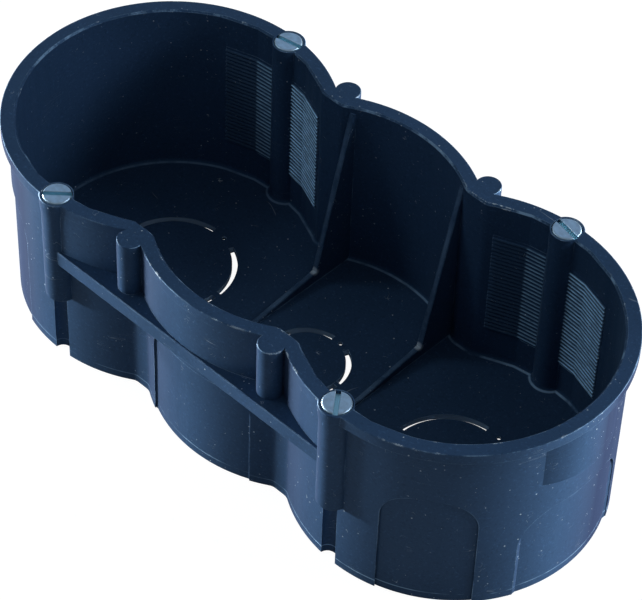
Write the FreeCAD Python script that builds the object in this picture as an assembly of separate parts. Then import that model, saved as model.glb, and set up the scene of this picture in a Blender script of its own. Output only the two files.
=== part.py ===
"""Flush back box: three round compartments moulded as one piece, with four device screws.

Millimetres. The origin is the middle of the base, +Z points out of the open mouth, +X runs along
the row of compartments.
"""
import FreeCAD, Part
import math
import os

from FreeCAD import Vector

# Moulded body: compartments, walls, rim and base
INNER_RADIUS = 29.1
LOBE_SPACE = 7.7
WALL = 1.5
RIM_WIDTH = 2.9
RIM_HEIGHT = 2.3
DEPTH = 42.0
FLOOR = 1.6
WAIST_DEPTH = 4.7
WAIST_WALL = 1.3
WAIST_ROUNDING = 2.5
MOUTH_EDGE = 0.35

# Device positions: 71 mm from device to device, and each pair of screws 60 mm apart, just outside the
# inner wall
DEVICE_PITCH = 71.0
SCREW_OUTSET = 0.9

# Stiffening shelf along each long side, from boss to boss
SHELF_DROP = 12.0
SHELF_PLATE = 1.4
SHELF_LIP = 3.3
SHELF_LIP_WALL = 1.2
SHELF_OVERHANG = 5.1

# Round posts that fill the waists above the shelf
POST_SHIFT = 0.5
POST_OUTSET = 3.9
POST_RADIUS = 2.5

# Coupling bulge at each end, under the rim
BULGE_RADIUS = 17.5
BULGE_DROP = 13.3

# Low dividing webs either side of the middle compartment
WEB_SHIFT = 4.4
WEB_WALL = 1.2
WEB_TOP_DROP = 1.5
WEB_TOP_OUTSET = 0.9
WEB_SLOPE_RUN = 8.8
WEB_KNEE_RISE = 2.6
WEB_SILL_RISE = 0.6
WEB_ROUNDING = 0.4

# Screw bosses: round inside down to the base, shorter outside with a relief channel below
BOSS_RADIUS = 3.1
BOSS_OUTER_LENGTH = 25.4
BOSS_COLLAR_RADIUS = 3.35
BOSS_COLLAR_HEIGHT = 1.6
BOSS_COLLAR_TAPER = 2.4
CHANNEL_RADIUS = 1.8
CHANNEL_INSET = 0.0

# Device screws and the seats that they turn in
HEAD_RADIUS = 2.72
HEAD_THICKNESS = 1.6
HEAD_PROUD = 0.2
HEAD_GAP = 0.15
HEAD_EDGE = 0.2
SLOT_WIDTH = 0.9
SLOT_DEPTH = 0.8
SHANK_RADIUS = 1.5
SHANK_LENGTH = 18.0
SHANK_POINT = 2.0
SHANK_GAP = 0.05
BORE_SPARE = 3.0
SLOT_ANGLES = {"front_left": 43.0, "rear_left": 10.0, "rear_right": -12.0, "front_right": -52.0}

# Flats either side of each boss
FLAT_COUNT = 4
FLAT_SPAN = 54.0

# Combs of grip ribs on the flats, for the claws of a device
RIB_DROP = 7.5
RIB_RISE = 9.0
RIB_PITCH = 2.1
RIB_ROOT = 0.05
RIB_PROUD = 0.4

# Side knock-outs: thin panels with an arched top, recessed from outside
PANEL_RECESS = 0.45
SIDE_PANEL_ANGLE = 56.0
SIDE_PANEL_WIDTH = 17.6
SIDE_PANEL_TOP = 14.5
SIDE_PANEL_CORNER = 7.0
END_PANEL_WIDTH = 25.9
END_PANEL_TOP = 20.5
END_PANEL_CORNER = 8.0
MIDDLE_PANEL_WIDTH = 25.2
MIDDLE_PANEL_TOP = 19.0
MIDDLE_PANEL_CORNER = 5.0

# Base knock-outs: arcs cut through the base, with bridges between
END_DISC_RADIUS = 12.2
MIDDLE_DISC_RADIUS = 8.2
DISC_SLOT = 1.1
DISC_ARCS = ((3.0, 66.0), (94.0, 177.0))
DISC_DOT_ANGLE = 80.0
DISC_DOT_RADIUS = 0.45

UP = Vector(0, 0, 1)
OVERCUT = 1.0
SIDES = (-1, 1)
LOBE_OFFSET = INNER_RADIUS + LOBE_SPACE
LOBES = (-LOBE_OFFSET, 0.0, LOBE_OFFSET)
SCREW_SPACING = 2 * (INNER_RADIUS + SCREW_OUTSET)
WAIST_INNER = INNER_RADIUS - WAIST_DEPTH
POST_X = LOBE_OFFSET / 2 - POST_SHIFT
POST_Y = WAIST_INNER + POST_OUTSET
WEB_X = LOBE_OFFSET / 2 - WEB_SHIFT
WEB_TOP_Y = WAIST_INNER + WEB_TOP_OUTSET
WEB_KNEE_Y = WEB_TOP_Y - WEB_SLOPE_RUN
WALL_RADIUS = INNER_RADIUS + WALL
RIM_RADIUS = INNER_RADIUS + RIM_WIDTH
SHELF_REACH = WAIST_INNER + RIM_WIDTH + SHELF_OVERHANG


def box(x0, x1, y0, y1, z0, z1):
    """Upright box between two corners."""
    return Part.makeBox(x1 - x0, y1 - y0, z1 - z0, Vector(x0, y0, z0))


def disc(x, y, radius, z0, z1):
    """Upright cylinder between two heights."""
    return Part.makeCylinder(radius, z1 - z0, Vector(x, y, z0), UP)


def prism(points, direction):
    """Closed straight-sided outline swept along a direction."""
    return Part.Face(Part.makePolygon(points + [points[0]])).extrude(direction)


def joined(shapes):
    """One solid from overlapping shapes, without leftover seams."""
    return shapes[0].fuse(shapes[1:]).removeSplitter()


def plan_solid(radius, waist, z0, z1):
    """Three overlapping discs in a row, with straight-sided waists between them."""
    rounds = [disc(x, 0, radius, z0, z1) for x in LOBES]
    return joined(rounds + [box(-LOBE_OFFSET, LOBE_OFFSET, -waist, waist, z0, z1)])


def plan_edge(radius, waist, z0, z1, growth):
    """The same plan with sloping sides, for the small chamfer at the mouth."""
    cones = [Part.makeCone(radius, radius + growth, z1 - z0, Vector(x, 0, z0), UP) for x in LOBES]
    section = [Vector(-LOBE_OFFSET, -waist, z0), Vector(-LOBE_OFFSET, waist, z0),
               Vector(-LOBE_OFFSET, waist + growth, z1), Vector(-LOBE_OFFSET, -waist - growth, z1)]
    return joined(cones + [prism(section, Vector(2 * LOBE_OFFSET, 0, 0))])


def rounded_plan(radius, waist, z0, z1):
    """The same plan with its upright waist corners rounded."""
    plan = plan_solid(radius, waist, z0, z1)
    corners = []
    for edge in plan.Edges:
        ends = [vertex.Point for vertex in edge.Vertexes]
        upright = len(ends) == 2 and abs(ends[0].x - ends[1].x) < 1e-6 and abs(ends[0].y - ends[1].y) < 1e-6
        if upright and abs(abs(ends[0].y) - waist) < 1e-3:
            corners.append(edge)
    return plan.makeFillet(WAIST_ROUNDING, corners)


def rim():
    """Flange round the mouth, taken down to the shelf between the bosses."""
    waist = WAIST_INNER + RIM_WIDTH
    flange = plan_solid(RIM_RADIUS, waist, DEPTH - RIM_HEIGHT, DEPTH)
    skirt = plan_solid(RIM_RADIUS, waist, DEPTH - SHELF_DROP, DEPTH - RIM_HEIGHT)
    reach = RIM_RADIUS + OVERCUT
    between_bosses = box(-DEVICE_PITCH / 2, DEVICE_PITCH / 2, -reach, reach, 0, DEPTH)
    return joined([flange, skirt.common(between_bosses)])


def shelf(side):
    """Straight plate with a turned-down lip along one long side."""
    top = DEPTH - SHELF_DROP
    outer = side * SHELF_REACH
    inner = side * WAIST_INNER
    lip_inner = side * (SHELF_REACH - SHELF_LIP_WALL)
    half = DEVICE_PITCH / 2
    plate = box(-half, half, min(inner, outer), max(inner, outer), top - SHELF_PLATE, top)
    lip = box(-half, half, min(lip_inner, outer), max(lip_inner, outer), top - SHELF_LIP, top)
    return [plate, lip]


def posts():
    """Round posts in the four waists, flush with the rim."""
    bottom = DEPTH - SHELF_DROP - SHELF_PLATE
    return [disc(sx * POST_X, sy * POST_Y, POST_RADIUS, bottom, DEPTH) for sx in SIDES for sy in SIDES]


def bulge(side):
    """Convex coupling bulge under the rim at one end, flush with the rim at its crest."""
    centre = side * (LOBE_OFFSET + RIM_RADIUS - BULGE_RADIUS)
    whole = disc(centre, 0, BULGE_RADIUS, DEPTH - BULGE_DROP, DEPTH - RIM_HEIGHT)
    near = side * LOBE_OFFSET
    far = side * (LOBE_OFFSET + RIM_RADIUS + OVERCUT)
    ahead = box(min(near, far), max(near, far), -BULGE_RADIUS, BULGE_RADIUS, 0, DEPTH)
    return whole.common(ahead)


def screw_places():
    """Name and centre of each device screw."""
    places = {}
    for y_name, sy in (("front", -1), ("rear", 1)):
        for x_name, sx in (("left", -1), ("right", 1)):
            places[y_name + "_" + x_name] = Vector(sx * DEVICE_PITCH / 2, sy * SCREW_SPACING / 2, 0)
    return places


def outer_bosses():
    """Outside half of each boss, with its collar round the screw head."""
    shapes = []
    collar_bottom = DEPTH - BOSS_COLLAR_HEIGHT
    for place in screw_places().values():
        shapes.append(disc(place.x, place.y, BOSS_RADIUS, DEPTH - BOSS_OUTER_LENGTH, DEPTH))
        shapes.append(disc(place.x, place.y, BOSS_COLLAR_RADIUS, collar_bottom, DEPTH))
        foot = Vector(place.x, place.y, collar_bottom - BOSS_COLLAR_TAPER)
        shapes.append(Part.makeCone(BOSS_RADIUS, BOSS_COLLAR_RADIUS, BOSS_COLLAR_TAPER, foot, UP))
    return shapes


def inner_bosses():
    """Inside half of each boss, down to the base."""
    within = plan_solid(WALL_RADIUS, WAIST_INNER, 0, DEPTH)
    return [disc(p.x, p.y, BOSS_RADIUS, 0, DEPTH).common(within) for p in screw_places().values()]


def on_circle(radius, degrees, x=0.0, z=0.0):
    """Point on a compartment's circle."""
    turn = math.radians(degrees)
    return Vector(x + radius * math.cos(turn), radius * math.sin(turn), z)


def boss_angle(place):
    """Direction of a boss as seen from the centre of its compartment."""
    lobe = math.copysign(LOBE_OFFSET, place.x)
    return lobe, math.degrees(math.atan2(place.y, place.x - lobe))


def flat_angles(place):
    """Angles of the corners between the wall flats beside one boss."""
    lobe, middle = boss_angle(place)
    step = FLAT_SPAN / FLAT_COUNT
    return lobe, [middle - FLAT_SPAN / 2 + step * i for i in range(FLAT_COUNT + 1)]


def flats(place):
    """Flat strips of inner wall either side of one boss."""
    lobe, angles = flat_angles(place)
    inner = [on_circle(INNER_RADIUS, a, lobe, FLOOR / 2) for a in angles]
    outer = [on_circle(INNER_RADIUS + WALL / 2, a, lobe, FLOOR / 2) for a in reversed(angles)]
    return prism(inner + outer, Vector(0, 0, DEPTH - FLOOR / 2))


def grip_ribs(place):
    """Comb of ledges, one below the other, on each flat beside one boss."""
    top = DEPTH - RIB_DROP
    count = int((top - RIB_RISE) / RIB_PITCH)
    profile = [(-WALL / 2, top), (RIB_ROOT, top)]
    for i in range(1, count + 1):
        ledge = top - i * RIB_PITCH
        profile += [(RIB_PROUD, ledge), (RIB_ROOT, ledge)]
    profile.append((-WALL / 2, top - count * RIB_PITCH))
    lobe, angles = flat_angles(place)
    combs = []
    for start, end in zip(angles, angles[1:]):
        corner = on_circle(INNER_RADIUS, start, lobe)
        along = on_circle(INNER_RADIUS, end, lobe) - corner
        inward = on_circle(1.0, (start + end) / 2 + 180)
        combs.append(prism([corner + inward * depth + UP * z for depth, z in profile], along))
    return combs


def dividing_web(side):
    """Low web across the base that climbs the walls beside the middle compartment."""
    base = FLOOR / 2
    edge = WAIST_INNER + RIM_WIDTH / 2
    climb = [(edge, base), (edge, DEPTH - WEB_TOP_DROP), (WEB_TOP_Y, DEPTH - WEB_TOP_DROP),
             (WEB_KNEE_Y, FLOOR + WEB_KNEE_RISE), (0.0, FLOOR + WEB_SILL_RISE)]
    outline = climb + [(-y, z) for y, z in reversed(climb[:-1])]
    x = side * WEB_X - WEB_WALL / 2
    web = prism([Vector(x, y, z) for y, z in outline], Vector(WEB_WALL, 0, 0))
    crest = []
    for one in web.Edges:
        middle = one.CenterOfMass
        along_crest = abs(middle.x - side * WEB_X) > WEB_WALL / 4 and abs(middle.y) < WEB_TOP_Y
        if along_crest and middle.z > FLOOR + WEB_SILL_RISE / 2:
            crest.append(one)
    return web.makeFillet(min(WEB_ROUNDING, WEB_WALL / 3), crest)


def knock_out_panel(lobe, degrees, width, drop, corner):
    """Cutter for one arched panel in the outside of a wall."""
    top = DEPTH - drop
    half = width / 2
    arch = box(-half, half, 0, WALL_RADIUS + OVERCUT, -OVERCUT, top)
    shoulders = [e for e in arch.Edges if abs(e.CenterOfMass.z - top) < 1e-6 and abs(e.CenterOfMass.x) > half / 2]
    arch = arch.makeFillet(min(corner, 0.98 * half), shoulders)
    arch.rotate(Vector(0, 0, 0), UP, degrees - 90)
    arch.translate(Vector(lobe, 0, 0))
    ring = disc(lobe, 0, WALL_RADIUS + OVERCUT, -OVERCUT, DEPTH)
    core = disc(lobe, 0, WALL_RADIUS - PANEL_RECESS, -2 * OVERCUT, DEPTH + OVERCUT)
    return arch.common(ring.cut(core))


def knock_out_panels():
    """Cutters for all side knock-outs."""
    cutters = []
    for side in SIDES:
        lobe = side * LOBE_OFFSET
        ahead = 0.0 if side > 0 else 180.0
        cutters.append(knock_out_panel(lobe, ahead, END_PANEL_WIDTH, END_PANEL_TOP, END_PANEL_CORNER))
        for turn in (-SIDE_PANEL_ANGLE, SIDE_PANEL_ANGLE):
            cutters.append(knock_out_panel(lobe, ahead + turn, SIDE_PANEL_WIDTH, SIDE_PANEL_TOP,
                                           SIDE_PANEL_CORNER))
        cutters.append(knock_out_panel(0.0, side * 90.0, MIDDLE_PANEL_WIDTH, MIDDLE_PANEL_TOP,
                                       MIDDLE_PANEL_CORNER))
    return cutters


def base_slots(lobe, radius):
    """Cutters for the arcs and dots that free one base knock-out."""
    cutters = []
    height = FLOOR + 2 * OVERCUT
    for side in SIDES:
        for start, end in DISC_ARCS:
            foot = Vector(lobe, 0, -OVERCUT)
            sweep = end - start
            outer = Part.makeCylinder(radius + DISC_SLOT / 2, height, foot, UP, sweep)
            ring = outer.cut(disc(lobe, 0, radius - DISC_SLOT / 2, -2 * OVERCUT, FLOOR + 2 * OVERCUT))
            ring.rotate(Vector(lobe, 0, 0), UP, start if side > 0 else -end)
            cutters.append(ring)
        dot = on_circle(radius, side * DISC_DOT_ANGLE, lobe)
        cutters.append(disc(dot.x, dot.y, DISC_DOT_RADIUS, -OVERCUT, FLOOR + OVERCUT))
    return cutters


def screw_seats():
    """Cutters for the head seat, the blind bore and the relief channel of each boss."""
    cutters = []
    seat = DEPTH + HEAD_PROUD - HEAD_THICKNESS
    bore_bottom = seat - SHANK_LENGTH - BORE_SPARE
    channel_top = DEPTH - BOSS_OUTER_LENGTH
    for place in screw_places().values():
        cutters.append(disc(place.x, place.y, HEAD_RADIUS + HEAD_GAP, seat, DEPTH + OVERCUT))
        cutters.append(disc(place.x, place.y, SHANK_RADIUS + SHANK_GAP, bore_bottom, seat + OVERCUT))
        outward = math.copysign(1.0, place.y)
        y = outward * (WALL_RADIUS - CHANNEL_INSET)
        cutters.append(disc(place.x, y, CHANNEL_RADIUS, -OVERCUT, channel_top))
    return cutters


def back_box():
    """The one-piece moulded box."""
    body = rounded_plan(WALL_RADIUS, WAIST_INNER + WAIST_WALL, 0, DEPTH - RIM_HEIGHT)
    extras = [rim()] + posts() + outer_bosses()
    for side in SIDES:
        extras += shelf(side)
        extras.append(bulge(side))
    mouth = rounded_plan(INNER_RADIUS, WAIST_INNER, FLOOR, DEPTH + OVERCUT)
    mouth_edge = plan_edge(INNER_RADIUS, WAIST_INNER, DEPTH - MOUTH_EDGE, DEPTH, MOUTH_EDGE)
    body = body.fuse(extras).cut([mouth, mouth_edge])
    body = body.cut(knock_out_panels())
    inside = inner_bosses() + [flats(place) for place in screw_places().values()]
    inside += [dividing_web(side) for side in SIDES]
    for place in screw_places().values():
        inside += grip_ribs(place)
    body = body.fuse(inside)
    slots = base_slots(0.0, MIDDLE_DISC_RADIUS)
    for side in SIDES:
        slots += base_slots(side * LOBE_OFFSET, END_DISC_RADIUS)
    return body.cut(slots + screw_seats()).removeSplitter()


def device_screw(place, slot_angle):
    """Slotted flat-head screw with a plain shank and a pointed end."""
    top = DEPTH + HEAD_PROUD
    seat = top - HEAD_THICKNESS
    point = SHANK_POINT
    profile = [Vector(0, 0, top), Vector(HEAD_RADIUS - HEAD_EDGE, 0, top),
               Vector(HEAD_RADIUS, 0, top - HEAD_EDGE), Vector(HEAD_RADIUS, 0, seat),
               Vector(SHANK_RADIUS, 0, seat), Vector(SHANK_RADIUS, 0, seat - SHANK_LENGTH + point),
               Vector(0, 0, seat - SHANK_LENGTH)]
    turned = Part.Face(Part.makePolygon(profile + [profile[0]])).revolve(Vector(0, 0, 0), UP, 360)
    reach = HEAD_RADIUS + OVERCUT
    slot = box(-reach, reach, -SLOT_WIDTH / 2, SLOT_WIDTH / 2, top - SLOT_DEPTH, top + OVERCUT)
    slot.rotate(Vector(0, 0, 0), UP, slot_angle)
    screw = Part.makeSolid(turned.cut(slot).Shells[0])
    screw.translate(Vector(place.x, place.y, 0))
    return screw


def main():
    os.makedirs("parts", exist_ok=True)
    body = back_box()
    print("back_box solids", len(body.Solids), "valid", body.isValid(), "volume", round(body.Volume, 1),
          "faces", len(body.Faces))
    body.Solids[0].exportStep("parts/back_box.step")
    for name, place in screw_places().items():
        screw = device_screw(place, SLOT_ANGLES[name])
        print(name, "valid", screw.isValid(), "volume", round(screw.Volume, 1))
        screw.exportStep("parts/device_screw_" + name + ".step")


main()
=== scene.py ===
"""Flush back box: the looks of the moulding and its device screws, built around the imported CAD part."""
import math

import bmesh
import bpy
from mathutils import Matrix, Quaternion, Vector


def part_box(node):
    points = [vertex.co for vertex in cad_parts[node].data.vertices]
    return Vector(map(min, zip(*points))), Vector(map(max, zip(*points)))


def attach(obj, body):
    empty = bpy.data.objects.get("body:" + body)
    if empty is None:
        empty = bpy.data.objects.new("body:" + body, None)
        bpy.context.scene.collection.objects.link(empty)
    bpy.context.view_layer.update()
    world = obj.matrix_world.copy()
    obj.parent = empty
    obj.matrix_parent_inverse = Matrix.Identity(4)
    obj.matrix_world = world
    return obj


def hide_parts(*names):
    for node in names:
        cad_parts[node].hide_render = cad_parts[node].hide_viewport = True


bl_info = {
    "name": "Flush Back Box",
    "version": (1, 0, 0),
    "blender": (4, 5, 0),
    "location": "View3D > Sidebar > Back Box",
    "description": "Models a flush back box with three compartments and its device screws",
    "category": "Object",
}

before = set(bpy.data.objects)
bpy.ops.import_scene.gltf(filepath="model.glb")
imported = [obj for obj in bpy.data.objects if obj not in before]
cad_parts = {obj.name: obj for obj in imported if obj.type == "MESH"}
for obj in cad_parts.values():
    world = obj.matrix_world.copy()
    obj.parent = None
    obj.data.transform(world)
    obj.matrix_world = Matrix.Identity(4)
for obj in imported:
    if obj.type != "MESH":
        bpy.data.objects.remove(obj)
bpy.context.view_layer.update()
BOX_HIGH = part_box("back_box")[1]
SCREW_NODES = sorted(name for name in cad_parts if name.startswith("device_screw"))
SCREW_BOXES = {name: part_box(name) for name in SCREW_NODES}

# Shapes are modelled in millimetres and brought to metres when a piece is finished
MM = 0.001
SIDES = (-1, 1)
ARC_STEP = 1.5
SMOOTH_ANGLE = math.radians(12.5)

# Moulding: edges, fillets and small forms that the settings below don't hold
RIM_RADIUS = 32.0
RIM_HEIGHT = 2.3
WAIST_ROUNDING = 2.5
RIM_WAIST_ROUNDING = 0.4
SKIRT_INSET = 0.02
MOUTH_EDGE = 0.35
EDGE_ROUNDING = 0.15
EDGE_BREAK = 0.1
SHELF_DROP = 12.0
SHELF_PLATE = 1.4
SHELF_LIP = 3.3
SHELF_LIP_WALL = 1.2
SHELF_ROOT = 24.9
POST_X = 17.9
POST_Y = 28.3
POST_RADIUS = 2.5
BULGE_RADIUS = 17.45
BULGE_DROP = 13.3
BULGE_INSET = 0.05
WEB_X = 14.0
WEB_WALL = 1.2
WEB_OUTLINE = ((25.85, 0.8), (25.85, 40.5), (25.3, 40.5), (16.5, 4.2), (0.0, 2.2))
BOSS_RADIUS = 3.1
BOSS_COLLAR_RADIUS = 3.35
BOSS_TAPER = (4.0, 1.6)
BOSS_END = ((-0.25, 0.0), (-0.08, 0.07), (0.0, 0.25))
BOSS_FOOT = ((0.9, 0.8), (0.9, 1.6), (0.6, 1.68), (0.36, 1.85), (0.17, 2.1), (0.05, 2.4), (0.0, 2.8))
CHANNEL_RADIUS = 1.8
HEAD_GAP = 0.15
HEAD_THICKNESS = 1.6
SHANK_RADIUS = 1.5
SHANK_GAP = 0.05
SHANK_LENGTH = 18.0
SHANK_TIP_RADIUS = 0.15
SHANK_TIP_LENGTH = 2.0
HEAD_ROUNDING = ((0.0, 0.3), (0.04, 0.15), (0.15, 0.04), (0.3, 0.0))
BORE_SPARE = 3.0
FLAT_COUNT = 4
FLAT_SPAN = 54.0
PANEL_RECESS = 0.45
PANEL_BLOCK = 3.0
# Side knock-outs of an end compartment: turn, width, distance below the rim and corner radius
END_PANELS = ((-56.0, 17.6, 14.5, 7.0), (0.0, 25.9, 20.5, 8.0), (56.0, 17.6, 14.5, 7.0))
MIDDLE_PANEL = (25.2, 19.0, 5.0)
END_DISC_RADIUS = 12.2
MIDDLE_DISC_RADIUS = 8.2
DISC_SLOT = 1.1
DISC_ARCS = ((3.0, 66.0), (94.0, 177.0))
DISC_DOT_ANGLE = 80.0
DISC_DOT_RADIUS = 0.45
DISC_WELL_RADIUS = 1.2
DISC_SPREAD = 0.5
# How far a cutter reaches past the surface that it opens
PAST = 1.0
# Turn of each screw's slot
SLOT_ANGLES = {"device_screw_front_left": 43.0, "device_screw_rear_left": 10.0,
               "device_screw_rear_right": -12.0, "device_screw_front_right": -52.0}
SLOT_REACH = 4.0

# Colours of small places, among them painted light on the cut sides of each slot in the base, and the tint of
# the plastic's gloss
BASE_SLOT_LIGHT_COLOR = (0.55, 0.72, 0.90)
SCREW_SLOT_COLOR = (0.42, 0.72, 0.82)
ZINC_EDGE_COLOR = (0.90, 0.95, 0.97)
PLASTIC_GLOSS_TINT = (0.38, 0.66, 1.0, 1.0)

# Each lamp's turn and height angle in degrees, distance, size, power and colour
LAMPS = {
    "right_lamp": (48.0, 0.0, 0.5, (0.25, 0.038), 5.8, (0.86, 0.95, 1.0)),
    "left_lamp": (-161.0, 0.0, 0.5, (0.25, 0.038), 8.0, (0.86, 0.95, 1.0)),
    "top_lamp": (132.0, 36.0, 1.3, (0.95, 0.95), 1.0, (0.40, 0.66, 1.0)),
    "inner_right_lamp": (33.0, 30.0, 0.6, (0.2, 0.2), 1.25, (0.70, 0.84, 1.0)),
    "inner_left_lamp": (-148.0, 37.0, 0.6, (0.14, 0.14), 0.34, (0.74, 0.90, 1.0)),
}
LAMP_AIM_HEIGHT = 0.02
WORLD_LIGHT = {"Color": (0.76, 0.88, 1.0, 1.0), "Strength": 0.20}
WHITE_BACKGROUND = {"Color": (1.0, 1.0, 1.0, 1.0), "Strength": 1.0}
FLOOR_GLOW = 1.2
FLOOR_SIZE = 8.0
FLOOR_HEIGHT = -0.0002
SENSOR_WIDTH = 36.0
NEAR_CLIP = 0.01


class BackBoxSizes(bpy.types.PropertyGroup):
    """Main sizes of the moulding and the screws."""
    depth: bpy.props.FloatProperty(
        name="Depth", description="From the base to the rim", unit="LENGTH", default=BOX_HIGH[2])
    lobe_offset: bpy.props.FloatProperty(
        name="Compartment offset", description="From the middle to the centre of an end compartment",
        unit="LENGTH", default=BOX_HIGH[0] - RIM_RADIUS * MM)
    inner_radius: bpy.props.FloatProperty(
        name="Inner radius", description="Inside radius of each compartment", unit="LENGTH", default=0.0291)
    wall: bpy.props.FloatProperty(
        name="Wall", description="Wall thickness below the rim", unit="LENGTH", default=0.0015)
    base: bpy.props.FloatProperty(
        name="Base", description="Thickness of the base", unit="LENGTH", default=0.0016)
    base_fillet: bpy.props.FloatProperty(
        name="Base fillet", description="Inside rounding where the walls meet the base", unit="LENGTH",
        default=0.001)
    waist_inner: bpy.props.FloatProperty(
        name="Waist inside", description="Half width inside the waists", unit="LENGTH", default=0.0244)
    waist_wall: bpy.props.FloatProperty(
        name="Waist wall", description="Wall thickness at the waists", unit="LENGTH", default=0.0013)
    shelf_reach: bpy.props.FloatProperty(
        name="Shelf reach", description="From the middle to the face of a side shelf", unit="LENGTH",
        default=0.0324)
    boss_length: bpy.props.FloatProperty(
        name="Boss length", description="Length of the outside half of a screw boss", unit="LENGTH",
        default=0.0254)
    rib_pitch: bpy.props.FloatProperty(
        name="Rib pitch", description="From one grip rib to the next", unit="LENGTH", default=0.00095)
    rib_height: bpy.props.FloatProperty(
        name="Rib height", description="How far a grip rib stands proud", unit="LENGTH", default=0.0004)
    rib_top: bpy.props.FloatProperty(
        name="Rib start", description="From the rim down to the first grip rib", unit="LENGTH",
        default=0.0075)
    rib_zone: bpy.props.FloatProperty(
        name="Rib zone", description="Height of a comb of grip ribs", unit="LENGTH", default=0.0256)
    slot_width: bpy.props.FloatProperty(
        name="Slot width", description="Width of a screw's slot", unit="LENGTH", default=0.0009)
    slot_depth: bpy.props.FloatProperty(
        name="Slot depth", description="Depth of a screw's slot", unit="LENGTH", default=0.0008)


class BackBoxFinish(bpy.types.PropertyGroup):
    """Colours, wear and painted light of the plastic and the zinc."""
    plastic_color: bpy.props.FloatVectorProperty(
        name="Plastic", description="Colour of the moulded plastic", subtype="COLOR", size=3,
        min=0.0, max=1.0, default=(0.028, 0.060, 0.118))
    plastic_tint: bpy.props.FloatVectorProperty(
        name="Plastic variation", description="Bluer patches of the plastic", subtype="COLOR", size=3,
        min=0.0, max=1.0, default=(0.036, 0.074, 0.146))
    plastic_roughness: bpy.props.FloatProperty(
        name="Plastic roughness", description="Roughness of the moulded surface", subtype="FACTOR",
        min=0.0, max=1.0, default=0.42)
    # Pale edges and lines: partly edge wear, partly painted highlight on edges, the rim's inner slope, the
    # base corner and the web crests
    edge_wear_and_highlight_color: bpy.props.FloatVectorProperty(
        name="Edge wear", description="Pale rubbed edges", subtype="COLOR", size=3, min=0.0, max=1.0,
        default=(0.30, 0.45, 0.62))
    # Painted shade and sheen: a darker violet where the outside at the ends turns away from the view
    violet_painted_shade_color: bpy.props.FloatVectorProperty(
        name="Violet sheen", description="Colour of the plastic where it turns away", subtype="COLOR",
        size=3, min=0.0, max=1.0, default=(0.0125, 0.0180, 0.051))
    # Painted highlight on the tips of the grip ribs
    rib_highlight_color: bpy.props.FloatVectorProperty(
        name="Rib tips", description="Colour of the bright tips of the grip ribs", subtype="COLOR", size=3,
        min=0.0, max=1.0, default=(0.45, 0.74, 1.0))
    # Width of the pale edges, which are partly painted highlight
    edge_width: bpy.props.FloatProperty(
        name="Edge width", description="Width of the rubbed edges", unit="LENGTH", default=0.00022)
    # Whitish burrs, dust, scratches and hairs, and the painted highlight on the web knees
    burr_dust_and_highlight_color: bpy.props.FloatVectorProperty(
        name="Burrs and dust", description="Whitish nicks, burrs and dust", subtype="COLOR", size=3,
        min=0.0, max=1.0, default=(0.75, 0.82, 0.86))
    zinc_color: bpy.props.FloatVectorProperty(
        name="Zinc", description="Colour of the zinc plate", subtype="COLOR", size=3, min=0.0, max=1.0,
        default=(0.44, 0.57, 0.70))


class BackBoxStage(bpy.types.PropertyGroup):
    """Floor, light and camera."""
    floor_color: bpy.props.FloatVectorProperty(
        name="Floor colour", description="Colour of the plain floor", subtype="COLOR", size=3,
        min=0.0, max=1.0, default=(0.8, 0.8, 0.8))
    background_share: bpy.props.FloatProperty(
        name="Background share", description="Share of plain white that is seen in the floor",
        subtype="FACTOR", min=0.0, max=1.0, default=0.8)
    floor_bounce: bpy.props.FloatProperty(
        name="Floor bounce", description="Share of the floor's brightness that falls back on the box",
        subtype="FACTOR", min=0.0, max=1.0, default=0.6)
    camera_aim: bpy.props.FloatVectorProperty(
        name="Camera aim", description="Point that the camera looks at", subtype="TRANSLATION",
        unit="LENGTH", size=3, default=(0.002536, 0.000782, 0.02))
    camera_distance: bpy.props.FloatProperty(
        name="Camera distance", description="From the aim point to the camera", unit="LENGTH",
        default=0.54633)
    camera_azimuth: bpy.props.FloatProperty(
        name="Camera azimuth", description="Turn of the camera from the front towards the right",
        unit="ROTATION", default=math.radians(42.61))
    camera_elevation: bpy.props.FloatProperty(
        name="Camera elevation", description="Height angle of the camera", unit="ROTATION",
        default=math.radians(46.48))
    camera_roll: bpy.props.FloatProperty(
        name="Camera roll", description="Turn of the camera about its own axis", unit="ROTATION",
        default=math.radians(2.26))
    camera_lens: bpy.props.FloatProperty(
        name="Camera lens", description="Focal length in millimetres on a 36 mm sensor", unit="CAMERA",
        default=163.88)


def choose(piece):
    """Select one piece alone and make it the active one."""
    bpy.ops.object.select_all(action="DESELECT")
    piece.select_set(True)
    bpy.context.view_layer.objects.active = piece


def add_loft(name, rings):
    """Closed solid through rings with the same count of points: a filled circle, shaped and extruded."""
    bpy.ops.object.select_all(action="DESELECT")
    bpy.ops.mesh.primitive_circle_add(vertices=len(rings[0]), fill_type="NGON")
    piece = bpy.context.object
    piece.name = name
    for vertex, point in zip(piece.data.vertices, rings[0]):
        vertex.co = point
    bpy.ops.object.mode_set(mode="EDIT")
    bpy.ops.mesh.select_all(action="SELECT")
    for last, ring in zip(rings, rings[1:]):
        bpy.ops.mesh.extrude_region_move()
        mesh = bmesh.from_edit_mesh(piece.data)
        cap = [face for face in mesh.faces if face.select][0]
        corners = [loop.vert for loop in cap.loops]
        first = min(range(len(corners)), key=lambda i: (corners[i].co - Vector(last[0])).length)
        corners = corners[first:] + corners[:first]
        if (corners[1].co - Vector(last[1])).length > (corners[-1].co - Vector(last[1])).length:
            corners = [corners[0]] + corners[:0:-1]
        for vertex, point in zip(corners, ring):
            vertex.co = point
        bmesh.update_edit_mesh(piece.data)
    bpy.ops.mesh.select_all(action="SELECT")
    bpy.ops.mesh.normals_make_consistent(inside=False)
    bpy.ops.object.mode_set(mode="OBJECT")
    return piece


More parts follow.
